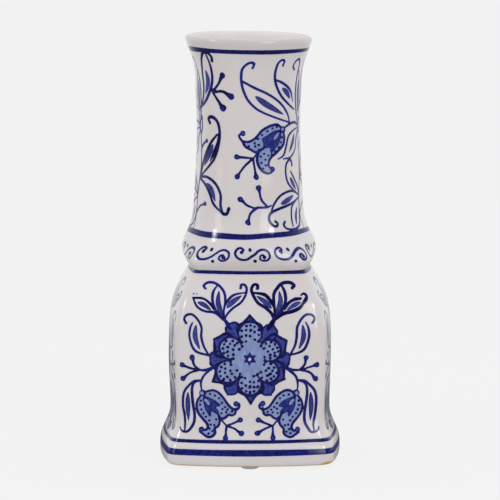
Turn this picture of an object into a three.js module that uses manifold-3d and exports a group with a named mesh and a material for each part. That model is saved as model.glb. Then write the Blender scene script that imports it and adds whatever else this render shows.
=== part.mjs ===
// A blue-and-white pottery vase: a square body with rounded corners on a flared foot, a bulging
// round collar, and a trumpet neck with a thick rolled lip. It is split where a potter lutes it
// together: a floor slab, a foot band, four pressed wall slabs, a thrown collar, a thrown neck
// and a coiled lip, with four stick-on bumper pads under the foot.
// Millimetres, +Z up. The origin is on the table, on the vase's axis; -Y is the front panel.
import * as THREE from "three";
import { mergeVertices } from "three/addons/utils/BufferGeometryUtils.js";
import Module from "manifold-3d";

// Driving dimensions.
const PAD_HEIGHT = 2; // the vase stands this far off the table, on its pads
const PAD_RADIUS = 6.35; // a half-inch pad
const PAD_TIP_RADIUS = 4.2;
const PAD_OFFSET = 46; // from the axis to each pad's centre
const FOOT_TOP = 28;
const CREASE = 116.3; // where the collar sits on the shoulder
const COLLAR_TOP = 137;
const LIP_BASE = 241;
const VASE_TOP = 254;
const FLOOR_UNDERSIDE = 4;
const FLOOR_TOP = 10;
const FOOT_RING_INNER = 38.5; // half-width of the recess under the floor
const REBATE = 2.5; // depth of the step in each luted joint
const SLIP_GAP = 0.3; // the layer of slip in a luted joint
const COLLAR_SQUARE_TO = 119; // below this height every section is as square as the body
const COLLAR_ROUND_FROM = 134; // above this height every section is a true circle

// The body's plan, as shares of its half-width: four bowed sides and four rounded corners.
const CORNER_RADIUS = 0.166;
const CORNER_CENTRE = 0.75; // of each corner's arc, across and along
const SIDE_RADIUS =
  (CORNER_CENTRE ** 2 + (1 - CORNER_CENTRE) ** 2 - CORNER_RADIUS ** 2) /
  (2 * (1 - CORNER_CENTRE - CORNER_RADIUS)); // so that each side's arc runs smoothly into its corners

const SIDE_STEPS = 5; // segments from the middle of a side to its corner
const CORNER_STEPS = 3; // segments in half a corner
const SQUARE_SEGMENTS = 8 * (SIDE_STEPS + CORNER_STEPS);
const ROUND_SEGMENTS = 48;

// Half-widths of the outer face, as [half-width, height].
const FOOT_OUTER = [
  [52.6, 2],
  [53.9, 3],
  [54.5, 5.5],
  [54.5, 9],
  [54, 12],
  [52.4, 16],
  [50.7, 20],
  [49.3, 24],
  [48.6, 28],
];
const WALL_OUTER = [
  [48.6, 28],
  [48.4, 36],
  [48.8, 50],
  [49.1, 64],
  [48.9, 77],
  [48.2, 87],
  [46.9, 94.5],
  [44.6, 101],
  [42, 106.5],
  [39, 112],
  [36.3, 116.3],
];
const COLLAR_OUTER = [
  [36.3, 116.3],
  [37.3, 118.5],
  [38.6, 121],
  [39.8, 124],
  [40.2, 127],
  [39.8, 130],
  [38.7, 133],
  [36.8, 137],
];
const NECK_OUTER = [
  [36.8, 137],
  [35.3, 140.5],
  [34, 145],
  [33.1, 152],
  [32.3, 165],
  [31.5, 180],
  [31.2, 195],
  [31.3, 210],
  [31.8, 223],
  [32.5, 233],
  [34.2, 241],
];
const LIP_OUTER = [
  [34.2, 241],
  [35.7, 245],
  [37.2, 249],
  [37.9, 251.7],
  [37.4, 253.3],
  [36, 254],
];

// Half-widths of the inner face.
const WALL_INNER = [
  [30.8, 116.3],
  [33.4, 110],
  [37.6, 102.5],
  [40.6, 94],
  [42.2, 84],
  [42.8, 64],
  [42.4, 36],
  [42.4, 28],
];
const COLLAR_INNER = [
  [31.3, 137],
  [33.2, 132],
  [34, 127],
  [33, 121],
  [30.8, 116.3],
];
const NECK_INNER = [
  [29.2, 241],
  [27.3, 233],
  [26.2, 220],
  [25.9, 195],
  [26.4, 175],
  [27.6, 155],
  [29, 145],
  [31.3, 137],
];
const LIP_INNER = [
  [33.6, 253.2],
  [32, 251],
  [31, 248],
  [29.2, 241],
];

const wasm = await Module();
wasm.setup();

// Where a side's arc meets a corner's, as an angle about the vase's axis from the side's middle.
const arcTilt = Math.atan2(CORNER_CENTRE, CORNER_CENTRE - 1 + SIDE_RADIUS);
const CORNER_ANGLE = Math.atan2(
  CORNER_CENTRE + CORNER_RADIUS * Math.sin(arcTilt),
  CORNER_CENTRE + CORNER_RADIUS * Math.cos(arcTilt),
);

// The plan's radius for a half-width of 1, at an angle of up to 45 degrees from a side's middle.
function squareRadius(angle) {
  const [sin, cos] = [Math.sin(angle), Math.cos(angle)];
  if (angle < CORNER_ANGLE) {
    const centre = 1 - SIDE_RADIUS;
    return centre * cos + Math.sqrt(SIDE_RADIUS ** 2 - (centre * sin) ** 2);
  }
  return CORNER_CENTRE * (sin + cos) + Math.sqrt(CORNER_RADIUS ** 2 - (CORNER_CENTRE * (cos - sin)) ** 2);
}

// The angle of the lathe's column at a share of the way from a side's middle to the corner's.
function columnAngle(share) {
  const steps = share * (SIDE_STEPS + CORNER_STEPS);
  if (steps <= SIDE_STEPS) return (CORNER_ANGLE * steps) / SIDE_STEPS;
  return CORNER_ANGLE + ((Math.PI / 4 - CORNER_ANGLE) * (steps - SIDE_STEPS)) / CORNER_STEPS;
}

// A lathe solid. A square one has its round sections pushed out to the body's plan, less and
// less through the collar, and its columns gathered at the corners.
function lathe(profile, segments) {
  const points = profile.map(([halfWidth, z]) => new THREE.Vector2(halfWidth, z));
  points.push(points[0].clone());
  const geometry = new THREE.LatheGeometry(points, segments, -Math.PI / 4);
  geometry.rotateX(Math.PI / 2); // the lathe's axis is Y
  if (segments !== SQUARE_SEGMENTS) return geometry;
  const position = geometry.getAttribute("position");
  for (let i = 0; i < position.count; i++) {
    const z = position.getZ(i);
    const radius = Math.hypot(position.getX(i), position.getY(i));
    const turn = Math.atan2(position.getY(i), position.getX(i));
    const middle = (Math.round(turn / (Math.PI / 2)) * Math.PI) / 2;
    const away = Math.min(1, Math.abs(turn - middle) / (Math.PI / 4));
    const angle = columnAngle(away);
    const roundness = THREE.MathUtils.smoothstep(z, COLLAR_SQUARE_TO, COLLAR_ROUND_FROM);
    const stretch = THREE.MathUtils.lerp(squareRadius(angle), 1, roundness);
    const direction = middle + Math.sign(turn - middle) * angle;
    position.setXY(i, radius * stretch * Math.cos(direction), radius * stretch * Math.sin(direction));
  }
  return geometry;
}

// A geometry as a manifold-3d solid.
function solid(geometry) {
  const bare = geometry.clone();
  bare.deleteAttribute("normal");
  bare.deleteAttribute("uv");
  const merged = mergeVertices(bare, 1e-3);
  return new wasm.Manifold(
    new wasm.Mesh({
      numProp: 3,
      vertProperties: merged.attributes.position.array,
      triVerts: new Uint32Array(merged.index.array),
    }),
  );
}

function geometryOf(manifold) {
  const mesh = manifold.getMesh();
  const geometry = new THREE.BufferGeometry();
  geometry.setAttribute("position", new THREE.BufferAttribute(mesh.vertProperties, 3));
  geometry.setIndex(new THREE.BufferAttribute(mesh.triVerts, 1));
  geometry.computeVertexNormals();
  return geometry;
}

function named(name, geometry, material) {
  const mesh = new THREE.Mesh(geometry, material);
  mesh.name = name;
  return mesh;
}

// Materials: white tin glaze, the buff body where no glaze covers it, and clear vinyl.
const glaze = new THREE.MeshStandardMaterial({ color: 0xdcd6d3, roughness: 0.12 });
const bareClay = new THREE.MeshStandardMaterial({ color: 0xc9a774, roughness: 0.85 });
const vinyl = new THREE.MeshStandardMaterial({ color: 0xb9bec6, roughness: 0.25 });

// The floor: a square slab that drops into the rebate inside the foot band.
function floorSlab() {
  const edge = FOOT_RING_INNER - SLIP_GAP;
  const ledge = edge + REBATE;
  const middle = (FLOOR_UNDERSIDE + FLOOR_TOP) / 2;
  const outline = [
    [0, FLOOR_UNDERSIDE],
    [edge, FLOOR_UNDERSIDE],
    [edge, middle],
    [ledge, middle],
    [ledge, FLOOR_TOP],
    [0, FLOOR_TOP],
  ];
  return lathe(outline, SQUARE_SEGMENTS);
}

// The flared foot: its underside is the ring the vase stands on.
function footBand() {
  const middle = (FLOOR_UNDERSIDE + FLOOR_TOP) / 2 - SLIP_GAP;
  const ledge = FOOT_RING_INNER + REBATE;
  const top = FOOT_TOP - SLIP_GAP;
  const tongue = [
    [45.5, top],
    [45.5, top - REBATE],
    [42.4, top - REBATE],
  ];
  const outer = FOOT_OUTER.map(([w, z]) => [w, Math.min(z, top)]);
  return lathe(
    [...outer, ...tongue, [42, 16], [ledge, FLOOR_TOP], [ledge, middle], [FOOT_RING_INNER, middle], [FOOT_RING_INNER, 2]],
    SQUARE_SEGMENTS,
  );
}

// All four walls in one ring, with a tongue below that sits in the foot's rebate.
function wallRing() {
  const tongue = [
    [42.4, FOOT_TOP - REBATE],
    [45.5 - SLIP_GAP, FOOT_TOP - REBATE],
    [45.5 - SLIP_GAP, FOOT_TOP],
  ];
  const inner = WALL_INNER.slice(0, -1);
  return solid(lathe([...WALL_OUTER, ...inner, ...tongue], SQUARE_SEGMENTS));
}

// One wall slab: the ring's part between two diagonals, short of each mitre by half the slip gap.
function wallSlab(ring, quarterTurns) {
  const reach = 90;
  const back = SLIP_GAP / Math.SQRT2; // moves the wedge's tip out so that each mitre face steps back
  const wedge = new THREE.Shape([
    new THREE.Vector2(0, -back),
    new THREE.Vector2(-reach, -reach - back),
    new THREE.Vector2(reach, -reach - back),
  ]);
  const prism = new THREE.ExtrudeGeometry(wedge, { depth: VASE_TOP, bevelEnabled: false });
  prism.rotateZ((quarterTurns * Math.PI) / 2);
  return geometryOf(ring.intersect(solid(prism)));
}

// The hollow collar: its top carries a rebate for the neck's spigot.
function collarRing() {
  const base = CREASE + SLIP_GAP;
  const outer = COLLAR_OUTER.map(([r, z]) => [r, Math.max(z, base)]);
  const inner = COLLAR_INNER.slice(1).map(([r, z]) => [r, Math.max(z, base)]);
  const rebate = [
    [34, COLLAR_TOP],
    [34, COLLAR_TOP - REBATE],
    [32.3, COLLAR_TOP - REBATE],
  ];
  return lathe([...outer, ...rebate, ...inner], SQUARE_SEGMENTS);
}

// The thrown neck, with a spigot that drops into the collar.
function neckTube() {
  const base = COLLAR_TOP + SLIP_GAP;
  const top = LIP_BASE - SLIP_GAP;
  const outer = NECK_OUTER.map(([r, z]) => [r, Math.min(Math.max(z, base), top)]);
  const inner = NECK_INNER.slice(0, -1).map(([r, z]) => [r, Math.min(z, top)]);
  const spigot = [
    [32.3, COLLAR_TOP - REBATE + SLIP_GAP],
    [34 - SLIP_GAP, COLLAR_TOP - REBATE + SLIP_GAP],
    [34 - SLIP_GAP, base],
  ];
  return lathe([...outer, ...inner, ...spigot], ROUND_SEGMENTS);
}

function lipRing() {
  return lathe([...LIP_OUTER, ...LIP_INNER], ROUND_SEGMENTS);
}

// A clear pad: a low dome that sticks to the foot ring's underside and tapers to the table.
function bumperPad(quarterTurns) {
  const face = PAD_HEIGHT - 0.05; // its adhesive layer
  const outline = [
    [0, 0],
    [PAD_TIP_RADIUS, 0],
    [PAD_RADIUS - 0.8, 0.7],
    [PAD_RADIUS, face],
    [0, face],
  ].map(([r, z]) => new THREE.Vector2(r, z));
  const geometry = new THREE.LatheGeometry(outline, 20);
  geometry.rotateX(Math.PI / 2);
  geometry.translate(0, -PAD_OFFSET, 0);
  geometry.rotateZ((quarterTurns * Math.PI) / 2);
  return geometry;
}

const vase = new THREE.Group();
vase.add(named("floor_slab", floorSlab(), bareClay));
vase.add(named("foot_band", footBand(), glaze));

const ring = wallRing();
const SIDES = ["front", "right", "back", "left"];
SIDES.forEach((side, quarterTurns) => {
  vase.add(named(`${side}_wall`, wallSlab(ring, quarterTurns), glaze));
  vase.add(named(`bumper_pad_${side}`, bumperPad(quarterTurns), vinyl));
});

vase.add(named("collar_ring", collarRing(), glaze));
vase.add(named("neck_tube", neckTube(), glaze));
vase.add(named("lip_ring", lipRing(), glaze));

export default vase;
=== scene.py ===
# A hand-painted blue-and-white pottery vase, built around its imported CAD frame.
# Each clay piece is a fine closed solid that follows the CAD's own outline. The brushwork is
# drawn as strokes on the unrolled surface: each vertex stores its distance to the nearest edge of
# each kind of paint, and the glaze material turns those distances into colour.
# Outlines and brushwork are in millimetres; meshes, lights and the camera are in metres.
import math

import bpy
import numpy as np
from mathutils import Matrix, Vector


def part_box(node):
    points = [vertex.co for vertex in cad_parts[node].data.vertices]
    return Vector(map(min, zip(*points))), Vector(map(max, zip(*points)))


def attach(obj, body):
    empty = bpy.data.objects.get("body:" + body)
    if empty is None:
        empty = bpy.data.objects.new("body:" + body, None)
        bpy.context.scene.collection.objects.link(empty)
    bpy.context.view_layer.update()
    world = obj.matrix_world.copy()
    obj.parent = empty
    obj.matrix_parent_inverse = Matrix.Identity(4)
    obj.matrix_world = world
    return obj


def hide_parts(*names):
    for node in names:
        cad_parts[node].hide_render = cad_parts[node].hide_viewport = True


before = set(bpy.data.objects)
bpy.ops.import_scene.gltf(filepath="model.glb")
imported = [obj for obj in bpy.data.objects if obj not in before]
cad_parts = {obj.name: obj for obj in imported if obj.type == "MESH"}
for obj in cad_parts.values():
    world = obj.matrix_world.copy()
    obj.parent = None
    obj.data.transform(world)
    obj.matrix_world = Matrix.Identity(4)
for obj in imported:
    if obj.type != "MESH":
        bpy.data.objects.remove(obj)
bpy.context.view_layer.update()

MM = 0.001
BODY = "root"
SIDES = ("front", "right", "back", "left")  # a quarter turn apart, anticlockwise from above
CLAY = [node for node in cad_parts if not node.startswith("bumper_pad")]

# The form. The body's plan has bowed sides and rounded corners, given as shares of its half-width.
CORNER_RADIUS = 0.166
CORNER_CENTRE = 0.75
SIDE_RADIUS = 3.556
SQUARE_TO = 119  # below this height every section is as square as the body
ROUND_FROM = 134  # above this height every section is a true circle
SLIP_GAP = 0.3  # the CAD's gap at each luted joint; the finished pieces meet in its middle
REBATE = 2.5
THROWN_WOBBLE = 0.2  # how far the hand-made surface wanders from the true form
FINE = 0.45  # spacing of the painted faces
COARSE = 2.0  # spacing of the hidden faces
FOOT_SHIFT = 0.35  # the real vase leans: its foot sits this far to the right,
NECK_SHIFT = 0.85  # and its neck this much further to the left,
LEAN_HEIGHTS = (85, 150)  # over these heights
MOUTH_DIP = 0.014  # the mouth slopes down to the right by this share,
DIP_HEIGHTS = (190, 250)  # over these heights

# The painting.
FAR = 6.0  # distances to paint are not followed beyond this
HAND = 0.13  # how far a brush stroke wanders from its drawing
BRUSH = 1.3  # how much fuller the lines come out than they are drawn


# ---------------------------------------------------------------- the form, from the frame


def cad_points(outside):
    """(half-width, height) of each outline point that shows at the middle of the front.

    The outer face is looked at from outside, and the inner face from the vase's axis."""
    start_y, look = (-200, 1) if outside else (0, -1)
    nudge = 0.02  # so that a ray doesn't graze the flat end of a piece
    near = 0.12  # how close the first hit has to be for the point to show
    tops = [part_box(node)[1].z / MM for node in CLAY]
    found = set()
    for node in CLAY:
        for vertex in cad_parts[node].data.vertices:
            x, y, z = vertex.co / MM
            if abs(x) > 0.01 or y > -1:
                continue
            for height in (z - nudge, z + nudge):
                if any(top < height < top + SLIP_GAP for top in tops):
                    continue  # this height looks into an open joint
                start = (nudge * MM, start_y * MM, height * MM)
                hits = [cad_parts[other].ray_cast(start, (0, look, 0)) for other in CLAY]
                depths = [place.y / MM * look for hit, place, _, _ in hits if hit]
                if depths and abs(min(depths) * look - y) < near:
                    found.add((round(-y, 2), round(z, 2)))
    return sorted(found, key=lambda point: point[1])


def natural_spline(points, step=0.1):
    """A dense smooth line through points: a natural cubic spline over the chord length."""
    points = np.array(points, float)
    apart = np.r_[True, np.hypot(*np.diff(points, axis=0).T) > 0.7]
    points = points[apart]
    chord = np.r_[0, np.cumsum(np.hypot(*np.diff(points, axis=0).T))]
    gap = np.diff(chord)
    last = len(points) - 1
    matrix = np.eye(last + 1)
    bend = np.zeros((last + 1, 2))
    for i in range(1, last):
        matrix[i, i - 1 : i + 2] = gap[i - 1], 2 * (gap[i - 1] + gap[i]), gap[i]
        after = (points[i + 1] - points[i]) / gap[i]
        before = (points[i] - points[i - 1]) / gap[i - 1]
        bend[i] = 3 * (after - before)
    bend = np.linalg.solve(matrix, bend)
    along = np.linspace(0, chord[-1], int(chord[-1] / step) + 1)
    i = np.clip(np.searchsorted(chord, along, side="right") - 1, 0, last - 1)
    t = (along - chord[i])[:, None]
    h = gap[i][:, None]
    slope = (points[i + 1] - points[i]) / h - h * (2 * bend[i] + bend[i + 1]) / 3
    return points[i] + slope * t + bend[i] * t**2 + (bend[i + 1] - bend[i]) / (3 * h) * t**3


def top_of(node):
    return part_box(node)[1].z / MM


FLOOR_TOP = top_of("floor_slab")
FOOT_SEAM = top_of("foot_band") + SLIP_GAP / 2
CREASE = top_of("front_wall") + SLIP_GAP / 2
NECK_SEAM = top_of("collar_ring") + SLIP_GAP / 2
LIP_SEAM = top_of("neck_tube") + SLIP_GAP / 2
FOOT_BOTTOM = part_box("foot_band")[0].z / MM
VASE_TOP = top_of("lip_ring")

seen_outside = cad_points(True)
seen_inside = [point for point in cad_points(False) if point[1] > FLOOR_TOP - 0.1]
BELOW = natural_spline([point for point in seen_outside if point[1] < CREASE])
ABOVE = natural_spline([p for p in seen_outside if p[1] > CREASE] + seen_inside[::-1])
RIM = int(np.argmax(ABOVE[:, 1]))
OUTER_ABOVE = ABOVE[: RIM + 1]
INNER = ABOVE[RIM:][::-1]
OUTLINE = np.vstack([BELOW, OUTER_ABOVE])
CLIMB = np.r_[0, np.cumsum(np.hypot(*np.diff(OUTLINE, axis=0).T))]


def climb(z):
    """The distance along the outline from the foot's edge up to a height."""
    return np.interp(z, OUTLINE[:, 1], CLIMB)


def part_of(line, low, high):
    """The stretch of an upward line between two heights, with a point exactly on each."""
    width = [np.interp(z, line[:, 1], line[:, 0]) for z in (low, high)]
    within = line[(line[:, 1] > low + 0.05) & (line[:, 1] < high - 0.05)]
    return np.vstack([[width[0], low], within, [width[1], high]])


def spaced(line, spacing):
    """The line again, with its points evenly spaced."""
    line = np.array(line, float)
    length = np.r_[0, np.cumsum(np.hypot(*np.diff(line, axis=0).T))]
    at = np.linspace(0, length[-1], max(1, round(length[-1] / spacing)) + 1)
    return np.stack([np.interp(at, length, line[:, k]) for k in (0, 1)], axis=1)


def plan_radius(angle):
    """The plan's radius for a half-width of 1: four bowed sides and four rounded corners."""
    away = np.abs((angle + np.pi / 4) % (np.pi / 2) - np.pi / 4)
    sin, cos = np.sin(away), np.cos(away)
    centre = 1 - SIDE_RADIUS
    side = centre * cos + np.sqrt(np.maximum(SIDE_RADIUS**2 - (centre * sin) ** 2, 0))
    inside = CORNER_RADIUS**2 - (CORNER_CENTRE * (cos - sin)) ** 2
    corner = CORNER_CENTRE * (sin + cos) + np.sqrt(np.maximum(inside, 0))
    tilt = math.atan2(CORNER_CENTRE, CORNER_CENTRE - centre)
    meet_y = CORNER_CENTRE + CORNER_RADIUS * math.sin(tilt)
    meet_x = CORNER_CENTRE + CORNER_RADIUS * math.cos(tilt)
    meet = math.atan2(meet_y, meet_x)
    return np.where(away < meet, side, corner)


def smooth_step(value, low, high):
    t = np.clip((value - low) / (high - low), 0, 1)
    return t * t * (3 - 2 * t)


def roundness(z):
    """0 in the square body, growing to 1 where the collar is round, as in the CAD."""
    return smooth_step(z, SQUARE_TO, ROUND_FROM)


def plan_table(round_share, count=2880):
    """Angle against share of the perimeter, and the perimeter for a half-width of 1."""
    angle = np.linspace(0, 2 * np.pi, count + 1)
    radius = plan_radius(angle) * (1 - round_share) + round_share
    steps = np.hypot(np.diff(radius * np.cos(angle)), np.diff(radius * np.sin(angle)))
    length = np.r_[0, np.cumsum(steps)]
    return angle, length / length[-1], length[-1]


PLANS = [plan_table(round_share) for round_share in np.linspace(0, 1, 21)]


def angle_at(share, round_share):
    """The plan angle, from the middle of the front towards the right, at a share of the perimeter."""
    share, place = np.broadcast_arrays(share, round_share * (len(PLANS) - 1))
    low = np.clip(np.floor(place).astype(int), 0, len(PLANS) - 2)
    turns = np.floor(share)
    result = np.zeros(share.shape)
    for k in np.unique(low):
        here = low == k
        rest = share[here] - turns[here]
        a, b = (np.interp(rest, PLANS[m][1], PLANS[m][0]) for m in (k, k + 1))
        result[here] = a + (b - a) * (place[here] - k)
    return result + turns * 2 * np.pi


def perimeter(half_width, z):
    place = roundness(z) * (len(PLANS) - 1)
    return half_width * np.interp(place, np.arange(len(PLANS)), [plan[2] for plan in PLANS])


def wobble(angle, z):
    """The unevenness left by the potter's hands, fading out at the foot's underside."""
    wave = (
        0.45 * np.sin(2 * angle + 0.031 * z + 0.7)
        + 0.35 * np.sin(3 * angle - 0.047 * z + 2.1)
        + 0.3 * np.sin(5 * angle + 0.083 * z + 4.0)
        + 0.25 * np.sin(0.155 * z + np.sin(angle + 1.0))
        + 0.15 * np.sin(7 * angle - 0.12 * z)
    )
    return THROWN_WOBBLE * wave * smooth_step(z, FOOT_BOTTOM, FOOT_BOTTOM + 8)


def surface(share, half_width, z):
    """The point in the row frame, in mm, at a share of the perimeter from the middle of the front."""
    angle = angle_at(share, roundness(z))
    stretch = plan_radius(angle) * (1 - roundness(z)) + roundness(z)
    radius = half_width * stretch + wobble(angle, z)
    x = radius * np.sin(angle)
    lean = FOOT_SHIFT - NECK_SHIFT * smooth_step(z, *LEAN_HEIGHTS)
    tilt = -MOUTH_DIP * x * smooth_step(z, *DIP_HEIGHTS)
    return np.stack([x + lean, -radius * np.cos(angle), z + tilt], axis=-1)


# ---------------------------------------------------------------- meshes


def mesh_object(name, places, faces, loop_normals, values):
    """A mesh from places in mm, faces as a list of index arrays, and a normal for each corner."""
    sizes = np.concatenate([np.full(len(f), f.shape[1]) for f in faces])
    loops = np.concatenate([f.ravel() for f in faces])
    mesh = bpy.data.meshes.new(name)
    mesh.vertices.add(len(places))
    mesh.vertices.foreach_set("co", (places * MM).astype(np.float32).ravel())
    mesh.loops.add(len(loops))
    mesh.loops.foreach_set("vertex_index", loops.astype(np.int32))
    mesh.polygons.add(len(sizes))
    mesh.polygons.foreach_set("loop_start", np.r_[0, np.cumsum(sizes)[:-1]].astype(np.int32))
    mesh.update(calc_edges=True)
    mesh.polygons.foreach_set("use_smooth", np.ones(len(sizes), bool))
    for key, value in values.items():
        attribute = mesh.attributes.new(key, "FLOAT", "POINT")
        attribute.data.foreach_set("value", value.astype(np.float32))
    mesh.normals_split_custom_set(loop_normals.astype(np.float32))
    mesh.validate()
    obj = bpy.data.objects.new(name, mesh)
    bpy.context.scene.collection.objects.link(obj)
    return obj


def unit(vectors):
    return vectors / np.maximum(np.linalg.norm(vectors, axis=-1, keepdims=True), 1e-12)


def run_normals(run, shares):
    """The outward normals of a run of section points swept through the shares."""
    tangent = unit(np.gradient(run, axis=0))
    width, z = run[:, :1], run[:, 1:]
    step = 0.02
    ahead = surface(shares, width + tangent[:, :1] * step, z + tangent[:, 1:] * step)
    behind = surface(shares, width - tangent[:, :1] * step, z - tangent[:, 1:] * step)
    turn = 1e-4
    right = surface(shares + turn, width, z)
    left = surface(shares - turn, width, z)
    return unit(np.cross(right - left, ahead - behind))


def grid_quads(row, column, rows, columns):
    """The quads whose lowest corners are at row and column, in a grid that joins up all round."""
    i, j = (grid.ravel() for grid in np.meshgrid(row, column, indexing="ij"))
    up, on = (i + 1) % rows, (j + 1) % columns
    return np.stack([i * columns + j, i * columns + on, up * columns + on, up * columns + j], axis=1)


def swept(name, runs, shares, closed, paint):
    """A closed solid: the closed section made of runs, swept through shares of the perimeter.

    The first run is the glazed outer face. A closed sweep goes all the way round; an open one
    is capped at both ends. paint(canvas) lays the brushwork on the outer face."""
    section = np.vstack([run[:-1] for run in runs])
    rows, columns = len(section), len(shares)
    places = surface(shares[None, :], section[:, :1], section[:, 1:])
    row = np.arange(rows)
    column = np.arange(columns if closed else columns - 1)
    normals = []
    for run in runs:
        grid = run_normals(run, shares[None, :])
        a, b = (g.ravel() for g in np.meshgrid(np.arange(len(run) - 1), column, indexing="ij"))
        c = (b + 1) % columns
        normals.append(np.stack([grid[a, b], grid[a, c], grid[a + 1, c], grid[a + 1, b]], axis=1))
    faces = [grid_quads(row, column, rows, columns)]
    corner = [np.concatenate(normals).reshape(-1, 3)]
    if not closed:
        for end, order in ((0, 1), (columns - 1, -1)):
            faces.append((row[::order] * columns + end)[None, :])
            along_mitre = places[rows // 2, end] - places[0, end]
            flat = unit(np.cross(along_mitre, [0, 0, 1.0]))
            outward = places[0, end] - places[0, columns // 2]
            corner.append(np.tile(flat if flat @ outward > 0 else -flat, (rows, 1)))
    outer = len(runs[0])
    canvas = Canvas(shares, runs[0])
    paint(canvas)
    values = {}
    empties = {"ink": FAR, "fill": FAR, "wash": FAR, "load": 0.5, "bare": FAR, "inside": 1.0}
    for key, empty in empties.items():
        whole = np.full((rows, columns), empty)
        whole[:outer] = canvas.values[key].reshape(outer, columns)
        values[key] = whole
    start = 0
    unglazed = np.ones(rows, bool)  # the faces hidden in a joint, and the underside
    for run in runs:
        if len(run) > 3:
            unglazed[start : start + len(run)] = False
        start += len(run) - 1
    values["bare"][unglazed] = -1
    values = {key: value.ravel() for key, value in values.items()}
    return mesh_object(name, places.reshape(-1, 3), faces, np.concatenate(corner), values)


# ---------------------------------------------------------------- the brush


def through(points, per_segment=7):
    """A smooth path through points: a centripetal Catmull-Rom spline."""
    p = np.array(points, float)
    if len(p) < 3:
        return p
    p = np.vstack([2 * p[0] - p[1], p, 2 * p[-1] - p[-2]])
    knot = np.r_[0, np.cumsum(np.maximum(np.hypot(*np.diff(p, axis=0).T), 1e-6) ** 0.5)]
    path = []
    for k in range(1, len(p) - 2):
        t = np.linspace(knot[k], knot[k + 1], per_segment, endpoint=False)[:, None]
        k0, k1, k2, k3 = knot[k - 1 : k + 3]
        a1 = (k1 - t) / (k1 - k0) * p[k - 1] + (t - k0) / (k1 - k0) * p[k]
        a2 = (k2 - t) / (k2 - k1) * p[k] + (t - k1) / (k2 - k1) * p[k + 1]
        a3 = (k3 - t) / (k3 - k2) * p[k + 1] + (t - k2) / (k3 - k2) * p[k + 2]
        b1 = (k2 - t) / (k2 - k0) * a1 + (t - k0) / (k2 - k0) * a2
        b2 = (k3 - t) / (k3 - k1) * a2 + (t - k1) / (k3 - k1) * a3
        path.append((k2 - t) / (k2 - k1) * b1 + (t - k1) / (k2 - k1) * b2)
    return np.vstack(path + [p[-2:-1]])


def from_path(x, y, a, b, reach_a, reach_b):
    """The distance of each point to a chain of tapered legs, negative inside them."""
    leg = b - a
    square = np.maximum((leg**2).sum(1), 1e-9)
    dx, dy = x[:, None] - a[:, 0], y[:, None] - a[:, 1]
    t = np.clip((dx * leg[:, 0] + dy * leg[:, 1]) / square, 0, 1)
    away = np.hypot(dx - t * leg[:, 0], dy - t * leg[:, 1])
    return (away - reach_a - t * (reach_b - reach_a)).min(1)


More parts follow.
